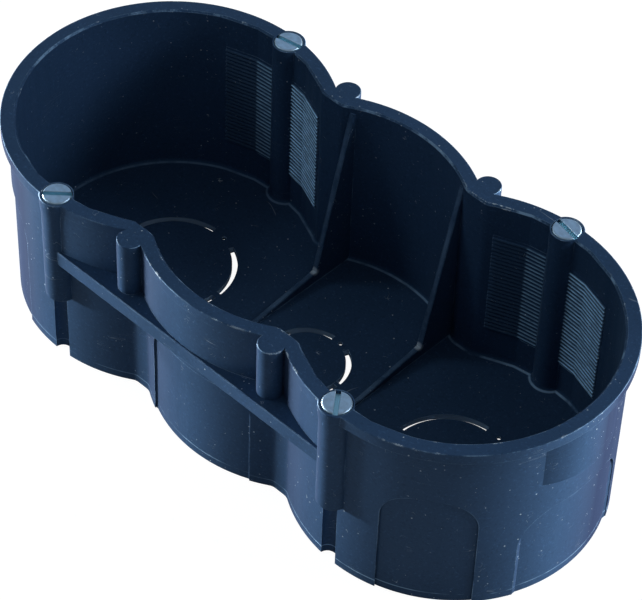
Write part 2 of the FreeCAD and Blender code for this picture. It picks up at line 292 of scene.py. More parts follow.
def combine(piece, tools, operation):
    """Join, cut or intersect a piece with other solids, which are used up."""
    group = bpy.data.collections.new("tool_shapes")
    for tool in tools:
        group.objects.link(tool)
    choose(piece)
    cut = piece.modifiers.new("combine", "BOOLEAN")
    cut.operation = operation
    cut.operand_type = "COLLECTION"
    cut.collection = group
    cut.solver = "EXACT"
    bpy.ops.object.modifier_apply(modifier=cut.name)
    for tool in tools:
        bpy.data.objects.remove(tool)
    bpy.data.collections.remove(group)
    if len(piece.data.polygons) == 0:
        raise RuntimeError(piece.name + " has no faces left")
    return piece


def finish_piece(piece, material, nodes):
    """Bring a piece to metres, clean it, smooth its round faces and stand it for its CAD nodes."""
    choose(piece)
    bpy.ops.object.mode_set(mode="EDIT")
    bpy.ops.mesh.select_all(action="SELECT")
    bpy.ops.mesh.remove_doubles(threshold=0.003)
    bpy.ops.mesh.dissolve_limited(angle_limit=math.radians(0.3))
    bpy.ops.mesh.normals_make_consistent(inside=False)
    bpy.ops.object.mode_set(mode="OBJECT")
    piece.scale = (MM, MM, MM)
    bpy.ops.object.transform_apply(location=True, rotation=True, scale=True)
    bpy.ops.object.shade_smooth_by_angle(angle=SMOOTH_ANGLE)
    piece.data.materials.clear()
    piece.data.materials.append(material)
    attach(piece, "root")
    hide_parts(*nodes)


def circle_ring(x, y, radius, z, count=72):
    """Points round an upright axis."""
    turns = [2 * math.pi * i / count for i in range(count)]
    return [(x + radius * math.cos(t), y + radius * math.sin(t), z) for t in turns]


def turned(name, x, y, profile, count=72):
    """Upright turned solid from radius and height pairs, bottom first."""
    return add_loft(name, [circle_ring(x, y, radius, z, count) for radius, z in profile])


def arc_points(x, y, radius, start, end, count):
    """Points along an arc, both ends included, angles in degrees."""
    turns = [math.radians(start + (end - start) * i / count) for i in range(count + 1)]
    return [(x + radius * math.cos(t), y + radius * math.sin(t)) for t in turns]


def screw_centres():
    """Centre of each device screw in millimetres, by node name."""
    centres = {}
    for name, (low, high) in SCREW_BOXES.items():
        centres[name] = ((low[0] + high[0]) / 2 / MM, (low[1] + high[1]) / 2 / MM)
    return centres


def boss_place():
    """How far the screws stand from the middle, along and across the row, in millimetres."""
    x, y = next(iter(screw_centres().values()))
    return abs(x), abs(y)


def flat_corners(offset):
    """Angles of the corners between the wall flats beside a boss."""
    x, y = boss_place()
    middle = math.degrees(math.atan2(y, x - offset))
    return [middle + FLAT_SPAN * (i / FLAT_COUNT - 0.5) for i in range(FLAT_COUNT + 1)]


def quarter_outline(offset, radius, waist, rounding, corners):
    """Outline of the plan from the right end to the far side of the middle compartment."""
    rise = waist + rounding
    run = math.sqrt((radius + rounding) ** 2 - rise ** 2)
    leave = math.degrees(math.atan2(rise, -run))
    if corners:
        points = arc_points(offset, 0, radius, 0, corners[0], int(corners[0] / ARC_STEP))[:-1]
        for turn in [math.radians(corner) for corner in corners] + [math.radians(leave)]:
            points.append((offset + radius * math.cos(turn), radius * math.sin(turn)))
    else:
        points = arc_points(offset, 0, radius, 0, leave, int(leave / ARC_STEP))
    points += arc_points(offset - run, rise, rounding, leave - 180, -90, 5)[1:]
    points += arc_points(run, rise, rounding, -90, -leave, 5)
    points += arc_points(0, 0, radius, 180 - leave, 90, 22)[1:]
    return points


def plan_ring(offset, radius, waist, rounding, inset, z, corners=()):
    """Closed outline of three round compartments with rounded waists, drawn in by an inset."""
    quarter = quarter_outline(offset, radius - inset, waist - inset, rounding + inset, corners)
    outline = quarter + [(-x, y) for x, y in reversed(quarter[:-1])]
    outline += [(-x, -y) for x, y in quarter[1:]]
    outline += [(x, -y) for x, y in reversed(quarter[1:-1])]
    return [(x, y, z) for x, y in outline]


def settings_in_mm(settings):
    """The sizes as plain numbers in millimetres, and the outside radius of the walls."""
    names = settings.bl_rna.properties.keys()
    s = {n: getattr(settings, n) / MM for n in names if n not in ("rna_type", "name")}
    s["wall_radius"] = s["inner_radius"] + s["wall"]
    return s


def outside_solids(s):
    """Rim, skirt, shelves, posts, bosses and bulges that join the walled body."""
    depth = s["depth"]
    rim_waist = s["waist_inner"] + RIM_RADIUS - s["inner_radius"]
    edge = EDGE_ROUNDING
    rim_steps = ((EDGE_BREAK, depth - RIM_HEIGHT), (0.0, depth - RIM_HEIGHT + EDGE_BREAK),
                 (0.0, depth - edge), (0.3 * edge, depth - 0.3 * edge), (edge, depth))
    skirt_steps = (depth - SHELF_DROP - SHELF_PLATE / 2, depth - 0.5 * RIM_HEIGHT)
    outline = (s["lobe_offset"], RIM_RADIUS, rim_waist, RIM_WAIST_ROUNDING)
    rim = add_loft("rim", [plan_ring(*outline, inset, z) for inset, z in rim_steps])
    skirt = add_loft("skirt", [plan_ring(*outline, SKIRT_INSET, z) for z in skirt_steps])
    half = boss_place()[0]
    reach = 2 * RIM_RADIUS
    corners = ((-half, -reach), (half, -reach), (half, reach), (-half, reach))
    between = add_loft("between_bosses", [[(x, y, z) for x, y in corners] for z in (-PAST, depth + PAST)])
    combine(skirt, [between], "INTERSECT")
    solids = [rim, skirt]
    top = depth - SHELF_DROP
    outer = s["shelf_reach"]
    lip = outer - SHELF_LIP_WALL
    section = ((SHELF_ROOT, top - SHELF_PLATE), (lip, top - SHELF_PLATE), (lip, top - SHELF_LIP),
               (outer - EDGE_BREAK, top - SHELF_LIP), (outer, top - SHELF_LIP + EDGE_BREAK),
               (outer, top - edge), (outer - edge, top), (SHELF_ROOT, top))
    for side in SIDES:
        solids.append(add_loft("shelf", [[(x, side * y, z) for y, z in section] for x in (-half, half)]))
        bulge = ((BULGE_RADIUS - edge, depth - BULGE_DROP), (BULGE_RADIUS, depth - BULGE_DROP + edge),
                 (BULGE_RADIUS, depth - RIM_HEIGHT + 0.3))
        centre = side * (s["lobe_offset"] + RIM_RADIUS - BULGE_RADIUS - BULGE_INSET)
        solids.append(turned("bulge", centre, 0, bulge, 180))
        for across in SIDES:
            post = ((POST_RADIUS, top - SHELF_PLATE / 2), (POST_RADIUS, depth - EDGE_BREAK),
                    (POST_RADIUS - EDGE_BREAK, depth))
            solids.append(turned("post", side * POST_X, across * POST_Y, post))
    bottom = depth - s["boss_length"]
    boss = [(BOSS_RADIUS + widening, bottom + rise) for widening, rise in BOSS_END]
    boss += [(BOSS_RADIUS, depth - BOSS_TAPER[0]), (BOSS_COLLAR_RADIUS, depth - BOSS_TAPER[1]),
             (BOSS_COLLAR_RADIUS, depth - EDGE_BREAK), (BOSS_COLLAR_RADIUS - EDGE_BREAK, depth)]
    for x, y in screw_centres().values():
        solids.append(turned("boss", x, y, boss))
    return solids


def dividing_web(side):
    """Low web across the base that climbs the walls, with a rounded crest."""
    outline = list(WEB_OUTLINE) + [(-y, z) for y, z in reversed(WEB_OUTLINE[:-1])]
    rings = []
    for across, drop in ((-0.5, 0.3), (-0.42, 0.1), (-0.22, 0.0), (0.22, 0.0), (0.42, 0.1), (0.5, 0.3)):
        x = side * WEB_X + across * WEB_WALL
        rings.append([(x, y * (1 + 0.012 * drop), z - drop if 1.0 < z < 40.0 else z) for y, z in outline])
    return add_loft("web", rings)


def grip_comb(s, lobe, across, start, end):
    """Comb of ledges, one below the other, on one wall flat."""
    top = s["depth"] - s["rib_top"]
    count = int(s["rib_zone"] / s["rib_pitch"])
    profile = [(-0.7, top), (0.05, top)]
    for i in range(1, count + 1):
        ledge = top - i * s["rib_pitch"]
        profile += [(0.05, ledge + 0.36), (s["rib_height"], ledge + 0.12), (s["rib_height"], ledge + 0.02),
                    (0.05, ledge)]
    profile.append((-0.7, top - count * s["rib_pitch"]))
    side = 1 if lobe > 0 else -1
    middle = math.radians((start + end) / 2)
    rings = []
    for turn in (math.radians(start), math.radians(end)):
        x = s["inner_radius"] * math.cos(turn)
        y = s["inner_radius"] * math.sin(turn)
        rings.append([(lobe + side * (x - proud * math.cos(middle)),
                       across * (y - proud * math.sin(middle)), z) for proud, z in profile])
    return add_loft("comb", rings)


def inside_void(s):
    """Inside of the compartments, less the bosses, webs and grip ribs that stand in it."""
    depth = s["depth"]
    centres = screw_centres()
    corners = flat_corners(s["lobe_offset"])
    fillet = s["base_fillet"]
    steps = []
    for i in range(9):
        turn = math.pi / 2 * i / 8
        steps.append((fillet * (1 - math.sin(turn)), s["base"] + fillet * (1 - math.cos(turn))))
    steps += [(0.0, depth - MOUTH_EDGE), (-MOUTH_EDGE, depth), (-PAST - MOUTH_EDGE, depth + PAST)]
    void = add_loft("void", [plan_ring(s["lobe_offset"], s["inner_radius"], s["waist_inner"], WAIST_ROUNDING,
                                       inset, z, corners) for inset, z in steps])
    standing = [dividing_web(side) for side in SIDES]
    profile = [(BOSS_RADIUS + flare, z) for flare, z in BOSS_FOOT] + [(BOSS_RADIUS, depth + 2 * PAST)]
    for x, y in centres.values():
        standing.append(turned("inner_boss", x, y, profile))
        lobe = math.copysign(s["lobe_offset"], x)
        for start, end in zip(corners, corners[1:]):
            standing.append(grip_comb(s, lobe, math.copysign(1, y), start, end))
    return combine(void, standing, "DIFFERENCE")


def knock_out_arch(s, lobe, degrees, width, drop, corner):
    """Cutter of one arched recess, with an arched top and a round inner side."""
    half = width / 2
    top = s["depth"] - drop
    outline = [(-half, -PAST), (half, -PAST)]
    outline += arc_points(half - corner, top - corner, corner, 0, 90, 10)
    outline += arc_points(corner - half, top - corner, corner, 90, 180, 10)
    turn = math.radians(degrees)
    ahead = (math.cos(turn), math.sin(turn))
    rings = []
    for reach in (s["wall_radius"] - PANEL_BLOCK, s["wall_radius"] + PAST):
        rings.append([(lobe + ahead[0] * reach - ahead[1] * u, ahead[1] * reach + ahead[0] * u, z)
                      for u, z in outline])
    inner = s["wall_radius"] - PANEL_RECESS
    core = turned("core", lobe, 0, ((inner, -2 * PAST), (inner, s["depth"])), 240)
    return combine(add_loft("arch", rings), [core], "DIFFERENCE")


def knock_out_cutters(s):
    """Shallow arched recesses of all side knock-outs."""
    left, right = ([(side * s["lobe_offset"], ahead + turn, *panel) for turn, *panel in END_PANELS]
                   for side, ahead in ((-1, 180.0), (1, 0.0)))
    middle = [(0.0, turn, *MIDDLE_PANEL) for turn in (-90.0, 90.0)]
    return [knock_out_arch(s, *panel) for panel in left + middle + right]


def base_slot_cutters(s):
    """Arcs and dots through the base that free the base knock-outs."""
    cutters = []
    steps = ((-PAST, DISC_SPREAD), (0.27, DISC_SPREAD), (0.33, 0.0), (s["base"] + 0.7, 0.0))
    for lobe, radius in ((-s["lobe_offset"], END_DISC_RADIUS), (0.0, MIDDLE_DISC_RADIUS),
                         (s["lobe_offset"], END_DISC_RADIUS)):
        for across in SIDES:
            for start, end in DISC_ARCS:
                rings = []
                for z, spread in steps:
                    outline = arc_points(lobe, 0, radius + DISC_SLOT / 2 + spread, start, end, 24)
                    outline += arc_points(lobe, 0, radius - DISC_SLOT / 2 - spread, end, start, 24)
                    rings.append([(x, across * y, z) for x, y in outline])
                cutters.append(add_loft("slot", rings))
            turn = math.radians(DISC_DOT_ANGLE)
            dot = (lobe + radius * math.cos(turn), across * radius * math.sin(turn))
            hole = ((DISC_WELL_RADIUS, -PAST), (DISC_WELL_RADIUS, s["base"] - 0.6),
                    (DISC_DOT_RADIUS, s["base"] - 0.55), (DISC_DOT_RADIUS, s["base"] + 0.7))
            cutters.append(turned("dot", *dot, hole, 20))
    return cutters


def screw_head(name):
    """Radius of a screw's head and the heights of its seat and its top, in millimetres."""
    low, high = SCREW_BOXES[name]
    top = high[2] / MM
    return (high[0] - low[0]) / 2 / MM, top - HEAD_THICKNESS, top


def screw_seat_cutters(s):
    """Head seat, blind bore and outside relief channel of each boss."""
    cutters = []
    for name, (x, y) in screw_centres().items():
        head, seat, _ = screw_head(name)
        bore = seat - SHANK_LENGTH - BORE_SPARE
        hollow = ((SHANK_RADIUS + SHANK_GAP, bore), (SHANK_RADIUS + SHANK_GAP, seat), (head + HEAD_GAP, seat),
                  (head + HEAD_GAP, s["depth"] + PAST))
        cutters.append(turned("seat", x, y, hollow))
        outward = math.copysign(s["wall_radius"], y)
        top = s["depth"] - s["boss_length"]
        cutters.append(turned("channel", x, outward, ((CHANNEL_RADIUS, -PAST), (CHANNEL_RADIUS, top)), 48))
    return cutters


def screw_profile(head, seat, top):
    """Radius and height pairs of a screw, from its tip to its head."""
    tip = seat - SHANK_LENGTH
    profile = [(SHANK_TIP_RADIUS, tip), (SHANK_RADIUS, tip + SHANK_TIP_LENGTH), (SHANK_RADIUS, seat),
               (head - EDGE_ROUNDING, seat), (head, seat + EDGE_ROUNDING)]
    return profile + [(head - inset, top - drop) for inset, drop in HEAD_ROUNDING]


def screw_slot(s, x, y, top, degrees):
    """Cutter of a screw's slot, slightly wider at its mouth."""
    turn = math.radians(degrees)
    along = Vector((math.cos(turn), math.sin(turn), 0))
    beside = Vector((-math.sin(turn), math.cos(turn), 0))
    rings = []
    for z, half in ((top - s["slot_depth"], 0.5), (top - 0.08, 0.5), (top + 0.02, 0.62), (top + PAST, 0.62)):
        middle = Vector((x, y, z))
        rings.append([middle + along * (SLOT_REACH * a) + beside * (half * s["slot_width"] * b)
                      for a, b in ((-1, -1), (1, -1), (1, 1), (-1, 1))])
    return add_loft("slot", rings)


class BACKBOX_OT_moulding(bpy.types.Operator):
    """Model the one-piece moulding with its rim, shelves, bosses, webs, grip ribs and knock-outs"""
    bl_idname = "back_box.moulding"
    bl_label = "Moulding"

    def execute(self, context):
        s = settings_in_mm(context.scene.back_box_sizes)
        outline = (s["lobe_offset"], s["wall_radius"], s["waist_inner"] + s["waist_wall"], WAIST_ROUNDING)
        steps = ((0.08, 0.0), (0.0, 0.08), (0.0, s["depth"] - 1.0))
        body = add_loft("box_moulding", [plan_ring(*outline, inset, z) for inset, z in steps])
        combine(body, outside_solids(s), "UNION")
        cutters = [inside_void(s)] + knock_out_cutters(s) + base_slot_cutters(s) + screw_seat_cutters(s)
        combine(body, cutters, "DIFFERENCE")
        plastic = navy_plastic(context.scene.back_box_sizes, context.scene.back_box_finish)
        finish_piece(body, plastic, ["back_box"])
        return {"FINISHED"}


class BACKBOX_OT_screws(bpy.types.Operator):
    """Model the four slotted device screws"""
    bl_idname = "back_box.screws"
    bl_label = "Device Screws"

    def execute(self, context):
        s = settings_in_mm(context.scene.back_box_sizes)
        zinc = zinc_plate(context.scene.back_box_sizes, context.scene.back_box_finish)
        for name, (x, y) in screw_centres().items():
            head, seat, top = screw_head(name)
            screw = turned("screw" + name[12:], x, y, screw_profile(head, seat, top), 96)
            combine(screw, [screw_slot(s, x, y, top, SLOT_ANGLES[name])], "DIFFERENCE")
            finish_piece(screw, zinc, [name])
        return {"FINISHED"}


def new_material(name):
    """Material with its shader, ready to be wired."""
    material = bpy.data.materials.new(name)
    material.use_nodes = True
    tree = material.node_tree
    return material, tree, tree.nodes["Principled BSDF"]


def add_node(tree, kind, values=None, **options):
    """One node with its options and the values of its inputs."""
    node = tree.nodes.new(kind)
    for key, value in options.items():
        setattr(node, key, value)
    for key, value in (values or {}).items():
        node.inputs[key].default_value = value
    return node


def add_math(tree, operation, *values):
    """Math node on sockets or numbers."""
    node = add_node(tree, "ShaderNodeMath", operation=operation)
    for value, socket in zip(values, node.inputs):
        if isinstance(value, (int, float)):
            socket.default_value = value
        else:
            tree.links.new(value, socket)
    return node.outputs[0]


def add_product(tree, *masks):
    """Masks and numbers multiplied with each other."""
    product = masks[0]
    for mask in masks[1:]:
        product = add_math(tree, "MULTIPLY", product, mask)
    return product


def add_distance(tree, *parts):
    """Length of a line from its parts along the axes."""
    total = add_product(tree, parts[0], parts[0])
    for part in parts[1:]:
        total = add_math(tree, "ADD", total, add_product(tree, part, part))
    return add_math(tree, "SQRT", total)


def add_axes(tree, vector):
    """Sockets of a vector's X, Y and Z."""
    node = add_node(tree, "ShaderNodeSeparateXYZ")
    tree.links.new(vector, node.inputs[0])
    return node.outputs


def add_range(tree, value, low, high, to_low=0.0, to_high=1.0):
    """Map a value from one range to another, kept within it."""
    node = add_node(tree, "ShaderNodeMapRange", {1: low, 2: high, 3: to_low, 4: to_high})
    tree.links.new(value, node.inputs[0])
    return node.outputs[0]


def add_band(tree, value, start, full, fade, end):
    """Mask of the values between two limits, with a soft edge at each."""
    return add_product(tree, add_range(tree, value, start, full), add_range(tree, value, end, fade))


def add_mix(tree, factor, first, second):
    """Mix two colours by a mask."""
    node = add_node(tree, "ShaderNodeMix", data_type="RGBA")
    for socket, value in ((node.inputs[0], factor), (node.inputs[6], first), (node.inputs[7], second)):
        if hasattr(value, "links"):
            tree.links.new(value, socket)
        else:
            socket.default_value = (*value, 1)
    return node.outputs[2]


def add_noise(tree, place, scale, stretch=(1, 1, 1), turn=(0, 0, 0), detail=2.0, roughness=0.5):
    """Noise on the object's own coordinates, stretched and turned."""
    mapping = add_node(tree, "ShaderNodeMapping", {"Scale": stretch, "Rotation": turn})
    tree.links.new(place, mapping.inputs["Vector"])
    noise = add_node(tree, "ShaderNodeTexNoise", {"Scale": scale, "Detail": detail, "Roughness": roughness})
    tree.links.new(mapping.outputs[0], noise.inputs["Vector"])
    return noise.outputs[0]


def add_patches(tree, place, scale, low, high, to_low=0.0, to_high=1.0, **noise):
    """Mask of uneven patches of noise."""
    return add_range(tree, add_noise(tree, place, scale, **noise), low, high, to_low, to_high)


def add_bump(tree, shader, height, strength, distance):
    """Fine relief on a shader's surface."""
    bump = add_node(tree, "ShaderNodeBump", {"Strength": strength, "Distance": distance})
    tree.links.new(height, bump.inputs["Height"])
    tree.links.new(bump.outputs[0], shader.inputs["Normal"])


def new_group(name, inputs, outputs):
    """Shader node group with a place, named numbers that go in, and named masks that come out."""
    tree = bpy.data.node_groups.new(name, "ShaderNodeTree")
    tree.interface.new_socket(name="Place", in_out="INPUT", socket_type="NodeSocketVector")
    for label, value in inputs.items():
        socket = tree.interface.new_socket(name=label, in_out="INPUT", socket_type="NodeSocketFloat")
        socket.default_value = value
    for label in outputs:
        tree.interface.new_socket(name=label, in_out="OUTPUT", socket_type="NodeSocketFloat")
    given = tree.nodes.new("NodeGroupInput")
    result = tree.nodes.new("NodeGroupOutput")
    return tree, given.outputs, result.inputs


def use_group(tree, group, place, values=None):
    """Place a group in a material with its own values."""
    node = tree.nodes.new("ShaderNodeGroup")
    node.node_tree = group
    tree.links.new(place, node.inputs["Place"])
    for key, value in (values or {}).items():
        node.inputs[key].default_value = value
    return node.outputs


def edge_wear_and_highlight_group():
    """Mask of pale edges: wear and painted highlight, broken up unevenly. It is built once, for the plastic
    and the zinc.
    """
    built = bpy.data.node_groups.get("edge_wear_and_highlight")
    if built:
        return built
    tree, given, result = new_group("edge_wear_and_highlight", {"Width": 0.0002, "Breaks": 180.0}, ["Mask"])
    bevel = add_node(tree, "ShaderNodeBevel", samples=6)
    tree.links.new(given["Width"], bevel.inputs["Radius"])
    geometry = add_node(tree, "ShaderNodeNewGeometry")
    dot = add_node(tree, "ShaderNodeVectorMath", operation="DOT_PRODUCT")
    tree.links.new(bevel.outputs[0], dot.inputs[0])
    tree.links.new(geometry.outputs["Normal"], dot.inputs[1])
    edge = add_range(tree, dot.outputs["Value"], 0.996, 0.93)
    noise = add_node(tree, "ShaderNodeTexNoise", {"Detail": 4.0, "Roughness": 0.65})
    tree.links.new(given["Place"], noise.inputs["Vector"])
    tree.links.new(given["Breaks"], noise.inputs["Scale"])
    tree.links.new(add_product(tree, edge, add_range(tree, noise.outputs[0], 0.43, 0.58)), result["Mask"])
    return tree


def dust_group():
    """Mask of dust specks in loose drifts."""
    tree, given, result = new_group("dust_specks", {"Density": 900.0, "Size": 0.15}, ["Mask"])
    cells = add_node(tree, "ShaderNodeTexVoronoi")
    tree.links.new(given["Place"], cells.inputs["Vector"])
    tree.links.new(given["Density"], cells.inputs["Scale"])
    share = add_node(tree, "ShaderNodeSeparateColor")
    tree.links.new(cells.outputs["Color"], share.inputs[0])
    limit = add_product(tree, add_range(tree, share.outputs[0], 0.55, 1.0), given["Size"])
    near = add_math(tree, "LESS_THAN", cells.outputs["Distance"], limit)
    drift = add_node(tree, "ShaderNodeTexNoise", {"Scale": 70.0, "Detail": 2.0})
    tree.links.new(given["Place"], drift.inputs["Vector"])
    tree.links.new(add_product(tree, near, add_range(tree, drift.outputs[0], 0.43, 0.56)), result["Mask"])
    return tree


def rib_tip_group(sizes):
    """Masks of the grip ribs: their tips as fine level lines, their zone, and the side of the boss."""
    boss_x, boss_y = (middle * MM for middle in boss_place())
    tree, given, result = new_group(
        "rib_tips", {"Offset": sizes.lobe_offset, "Radius": sizes.inner_radius, "Boss X": boss_x,
                     "Boss Y": boss_y, "Top": sizes.depth - sizes.rib_top, "Height": sizes.rib_zone,
                     "Pitch": sizes.rib_pitch}, ["Mask", "Zone", "Side"])
    axes = add_axes(tree, given["Place"])
    across = add_math(tree, "ABSOLUTE", axes["X"])
    along = add_math(tree, "ABSOLUTE", axes["Y"])
    side = add_math(tree, "SUBTRACT", across, given["Offset"])
    boss_side = add_math(tree, "SUBTRACT", given["Boss X"], given["Offset"])
    reach = add_distance(tree, side, along)
    boss_reach = add_distance(tree, boss_side, given["Boss Y"])
    shared = add_math(tree, "ADD", add_product(tree, side, boss_side),
                      add_product(tree, along, given["Boss Y"]))
    together = add_math(tree, "DIVIDE", shared, add_product(tree, reach, boss_reach))
    last_flat = math.cos(math.radians(FLAT_SPAN / 2))
    beside = add_range(tree, together, last_flat + 0.0005, last_flat + 0.0015)
    proud = add_math(tree, "SUBTRACT", given["Radius"], reach)
    inside = add_band(tree, proud, 0.00001, 0.00008, 0.0009, 0.0010)
    apart = add_distance(tree, add_math(tree, "SUBTRACT", across, given["Boss X"]),
                         add_math(tree, "SUBTRACT", along, given["Boss Y"]))
    clear = add_range(tree, apart, BOSS_RADIUS * MM, BOSS_RADIUS * MM + 0.0002)
    down = add_math(tree, "SUBTRACT", given["Top"], axes["Z"])
    left = add_math(tree, "SUBTRACT", given["Height"], down)
    zone = add_product(tree, beside, inside, clear, add_range(tree, down, 0.0, 0.0001),
                       add_range(tree, left, -0.0001, 0.0))
    phase = add_math(tree, "FRACT", add_math(tree, "DIVIDE", down, given["Pitch"]))
    boss = add_product(tree, add_math(tree, "SIGN", axes["X"]), given["Boss X"])
    tree.links.new(add_product(tree, zone, add_band(tree, phase, 0.71, 0.76, 0.89, 0.93)), result["Mask"])
    tree.links.new(zone, result["Zone"])
    tree.links.new(add_math(tree, "SUBTRACT", axes["X"], boss), result["Side"])
    return tree


def outside_faces(tree, across, along, sizes):
    """Mask of the outside of the moulding, beyond the inside radius of every compartment."""
    mask = add_math(tree, "MAXIMUM", add_range(tree, along, 0.0250, 0.0254),
                    add_range(tree, across, 0.030, 0.031))
    for offset in (0.0, sizes.lobe_offset):
        reach = add_distance(tree, add_math(tree, "SUBTRACT", across, offset), along)
        beyond = add_range(tree, reach, sizes.inner_radius + 0.0002, sizes.inner_radius + 0.0007)
        mask = add_product(tree, mask, beyond)
    return mask


def base_slot_sides(tree, across, along, up, sizes):
    """Mask of painted light on the cut sides of each slot in the base, where the light from below falls."""
    reach = END_DISC_RADIUS * MM + 0.0018
    end = sizes.lobe_offset + reach
    return add_product(tree, add_range(tree, across, end, end - 0.0003),
                       add_range(tree, along, reach, reach - 0.0003),
                       add_band(tree, up, 0.0002, 0.0003, sizes.base - 0.00008, sizes.base - 0.00002), 0.7)


def base_corner_highlight(tree, place, axes, sizes):
    """Mask of a painted highlight along the inside corner at the base, stronger to the right where the light
    falls.
    """
    line = add_band(tree, axes["Z"], *(sizes.base + rise for rise in (0.00002, 0.00006, 0.0002, 0.0003)))
    uneven = add_patches(tree, place, 60.0, 0.40, 0.56, detail=5.0, roughness=0.7)
    return add_product(tree, line, uneven, add_range(tree, axes["X"], -0.045, 0.035, 0.35, 1.0))


def rim_burrs(tree, place, up, sizes):
    """Mask of nicks and burrs along the edges of the rim."""
    nicks = add_patches(tree, place, 420.0, 0.555, 0.61, detail=5.0, roughness=0.7)
    runs = add_patches(tree, place, 95.0, 0.50, 0.58, detail=1.0)
    near_rim = add_range(tree, up, sizes.depth - 0.0008, sizes.depth - 0.0002)
    lip = use_group(tree, edge_wear_and_highlight_group(), place, {"Width": 0.0004, "Breaks": 90.0})["Mask"]
    return add_product(tree, nicks, runs, near_rim, add_range(tree, lip, 0.02, 0.2))


def mouth_edge_highlight(tree, place, up, facing_up, sizes):
    """Mask of a painted highlight on the slope along the inner edge of the rim, broken into patches."""
    slope = add_band(tree, facing_up, 0.30, 0.45, 0.88, 0.95)
    near_rim = add_range(tree, up, sizes.depth - 0.0004, sizes.depth - 0.0003)
    broken_highlight = add_patches(tree, place, 160.0, 0.49, 0.62, 0.0, 0.75, detail=5.0, roughness=0.75)
    return add_product(tree, slope, near_rim, broken_highlight)


def web_crest_highlight(tree, place, across, along, up, facing_x):
    """Mask of a painted highlight along the crest of the low webs, broken into patches."""
    apart = add_math(tree, "ABSOLUTE", add_math(tree, "SUBTRACT", across, WEB_X * MM))
    upward = add_range(tree, add_math(tree, "ABSOLUTE", facing_x), 0.93, 0.80)
    rubbed_and_highlit = add_patches(tree, place, 120.0, 0.40, 0.66, 0.03, 0.30, detail=4.0, roughness=0.65)
    return add_product(tree, upward, add_range(tree, apart, 0.0005, 0.0003),
                       add_range(tree, along, 0.0255, 0.0251),
                       add_band(tree, up, 0.00175, 0.0019, 0.0405, 0.0407), rubbed_and_highlit)


def web_knee_highlight(tree, across, along, up):
    """Mask of a painted highlight on the knees of the low webs."""
    knee = zip((across, along, up), (WEB_X,) + WEB_OUTLINE[3])
    parts = [add_math(tree, "SUBTRACT", axis, middle * MM) for axis, middle in knee]
    return add_range(tree, add_distance(tree, *parts), 0.0011, 0.0006, 0.0, 0.6)


def thin_marks(tree, place, bend, line, spread):
    """Mask of thin lines along one level of a noise, in a few patches."""
    patches = add_patches(tree, place, *spread, detail=1.0)
    return add_product(tree, add_band(tree, bend, *line), patches)


